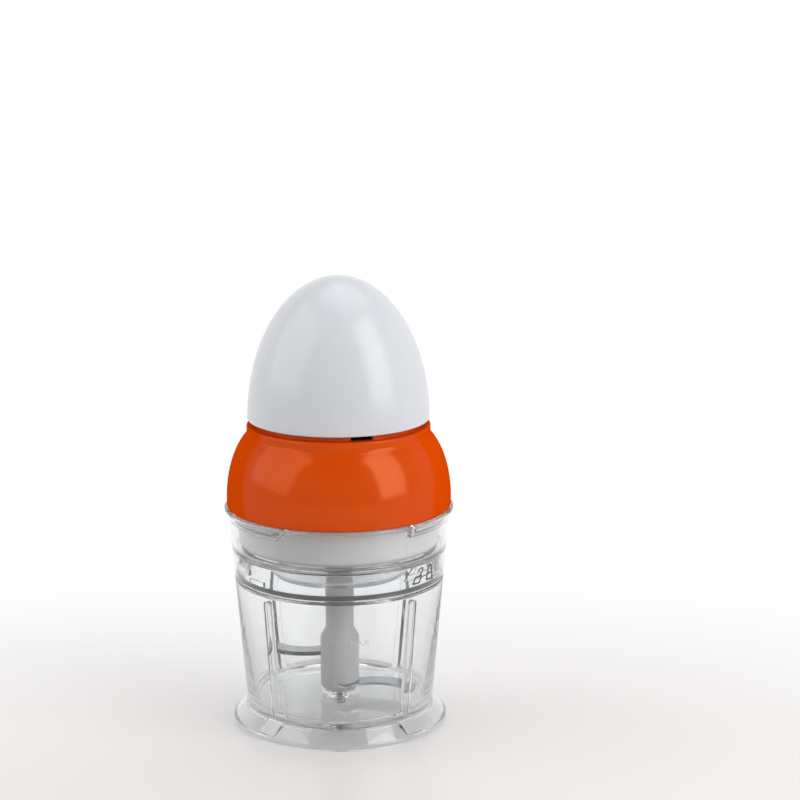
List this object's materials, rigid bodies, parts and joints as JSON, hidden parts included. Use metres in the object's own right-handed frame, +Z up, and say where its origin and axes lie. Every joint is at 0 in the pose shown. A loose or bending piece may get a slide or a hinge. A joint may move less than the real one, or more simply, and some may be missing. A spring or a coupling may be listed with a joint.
{
  "type": "electric mini chopper",
  "caption": "Electric mini chopper: clear footed bowl with a blade set, clear twist-lock lid, and an egg-topped motor unit that runs while its dome is pressed down.",
  "frame": {"origin": "on the table, at the bowl's axis, in the plane of the foot's underside", "axes": "+Z up along the bowl's axis, -Y towards the front, +X to the right seen from the front"},
  "size_m": [0.114, 0.114, 0.2254],
  "materials": {
    "clear_plastic": "clear, polished",
    "white_plastic": "gloss white, faintly cool",
    "orange_plastic": "gloss orange",
    "grey_plastic": "satin light grey",
    "dark_plastic": "matt dark grey",
    "nylon": "natural nylon",
    "soft_seal": "soft grey seal",
    "black_rubber": "black rubber",
    "steel": "bright steel",
    "iron": "stamped iron",
    "copper": "enamelled copper wire",
    "brass": "brass and sintered bronze",
    "carbon": "carbon brush"
  },
  "bodies": {
    "bowl": {"bowl": "clear_plastic", "spindle_pin": "steel", "bowl_seal": "soft_seal"},
    "washer": {"thrust_washer": "nylon"},
    "blade_set": {"blade_hub": "grey_plastic", "hub_sleeve": "brass", "lower_blade": "steel", "upper_blade": "steel"},
    "seal": {"lid_seal": "soft_seal"},
    "lid": {"lid": "clear_plastic"},
    "motor_unit": {"base_cover": "grey_plastic", "motor_housing": "orange_plastic", "housing_screws": "steel", "cord_gland": "black_rubber", "shaft_seal": "soft_seal", "output_bush": "brass", "ring_gear": "nylon", "motor_plate": "dark_plastic", "plate_screws": "steel", "lower_bearing": "brass", "stator_core": "iron", "field_coils": "copper", "upper_bracket": "steel", "upper_bearing": "brass", "motor_bolts": "steel", "brush_holders": "brass", "carbon_brushes": "carbon", "brush_springs": "steel", "top_frame": "dark_plastic", "frame_screws": "steel", "switch_body": "dark_plastic", "suppressor_capacitor": "orange_plastic", "lead_wires": "black_rubber", "return_springs": "steel"},
    "rotor": {"rotor_shaft": "steel", "rotor_core": "iron", "rotor_windings": "copper", "commutator": "copper", "cooling_fan": "dark_plastic", "sun_gear": "steel"},
    "carrier": {"planet_carrier": "iron", "planet_pins": "steel", "drive_socket": "grey_plastic"},
    "planet_1": {"planet_gear_1": "nylon"},
    "planet_2": {"planet_gear_2": "nylon"},
    "planet_3": {"planet_gear_3": "nylon"},
    "lever": {"switch_lever": "steel"},
    "dome": {"press_dome": "white_plastic"}
  },
  "joints": [
    {"name": "blade_lift", "type": "slide", "parent": "bowl", "child": "washer", "axis": [0, 0, 1], "range_m": [0, 0.1]},
    {"name": "blade_spin", "type": "hinge", "parent": "washer", "child": "blade_set", "pos_m": [0, 0, 0.03], "axis": [0, 0, 1], "continuous": true},
    {"name": "lid_lift", "type": "slide", "parent": "washer", "child": "seal", "axis": [0, 0, 1], "range_m": [0, 0.045]},
    {"name": "lid_twist", "type": "hinge", "parent": "seal", "child": "lid", "pos_m": [0, 0, 0.08], "axis": [0, 0, -1], "range_deg": [0, 20]},
    {"name": "unit_lift", "type": "slide", "parent": "lid", "child": "motor_unit", "axis": [0, 0, 1], "range_m": [0, 0.06]},
    {"name": "rotor_spin", "type": "hinge", "parent": "motor_unit", "child": "rotor", "pos_m": [0, 0, 0.15], "axis": [0, 0, 1], "continuous": true},
    {"name": "carrier_spin", "type": "hinge", "parent": "motor_unit", "child": "carrier", "pos_m": [0, 0, 0.1], "axis": [0, 0, 1], "continuous": true},
    {"name": "planet_1_spin", "type": "hinge", "parent": "carrier", "child": "planet_1", "pos_m": [0.012, 0, 0.11], "axis": [0, 0, 1], "continuous": true},
    {"name": "planet_2_spin", "type": "hinge", "parent": "carrier", "child": "planet_2", "pos_m": [-0.006, 0.01039, 0.11], "axis": [0, 0, 1], "continuous": true},
    {"name": "planet_3_spin", "type": "hinge", "parent": "carrier", "child": "planet_3", "pos_m": [-0.006, -0.01039, 0.11], "axis": [0, 0, 1], "continuous": true},
    {"name": "dome_press", "type": "slide", "parent": "motor_unit", "child": "dome", "axis": [0, 0, -1], "range_m": [0, 0.0022], "stiffness_N_per_m": 600, "springref_m": -0.006, "deforming": ["return_springs"]},
    {"name": "lever_tip", "type": "hinge", "parent": "motor_unit", "child": "lever", "pos_m": [-0.005, 0.0355, 0.1745], "axis": [0, 1, 0], "range_deg": [0, 13]}
  ],
  "couplings": [
    {"joint": "carrier_spin", "follows": "rotor_spin", "ratio": 0.2},
    {"joint": "blade_spin", "follows": "rotor_spin", "ratio": 0.2},
    {"joint": "planet_1_spin", "follows": "rotor_spin", "ratio": -0.53333},
    {"joint": "planet_2_spin", "follows": "rotor_spin", "ratio": -0.53333},
    {"joint": "planet_3_spin", "follows": "rotor_spin", "ratio": -0.53333},
    {"joint": "lever_tip", "follows": "dome_press", "rad_per_m": 100}
  ]
}
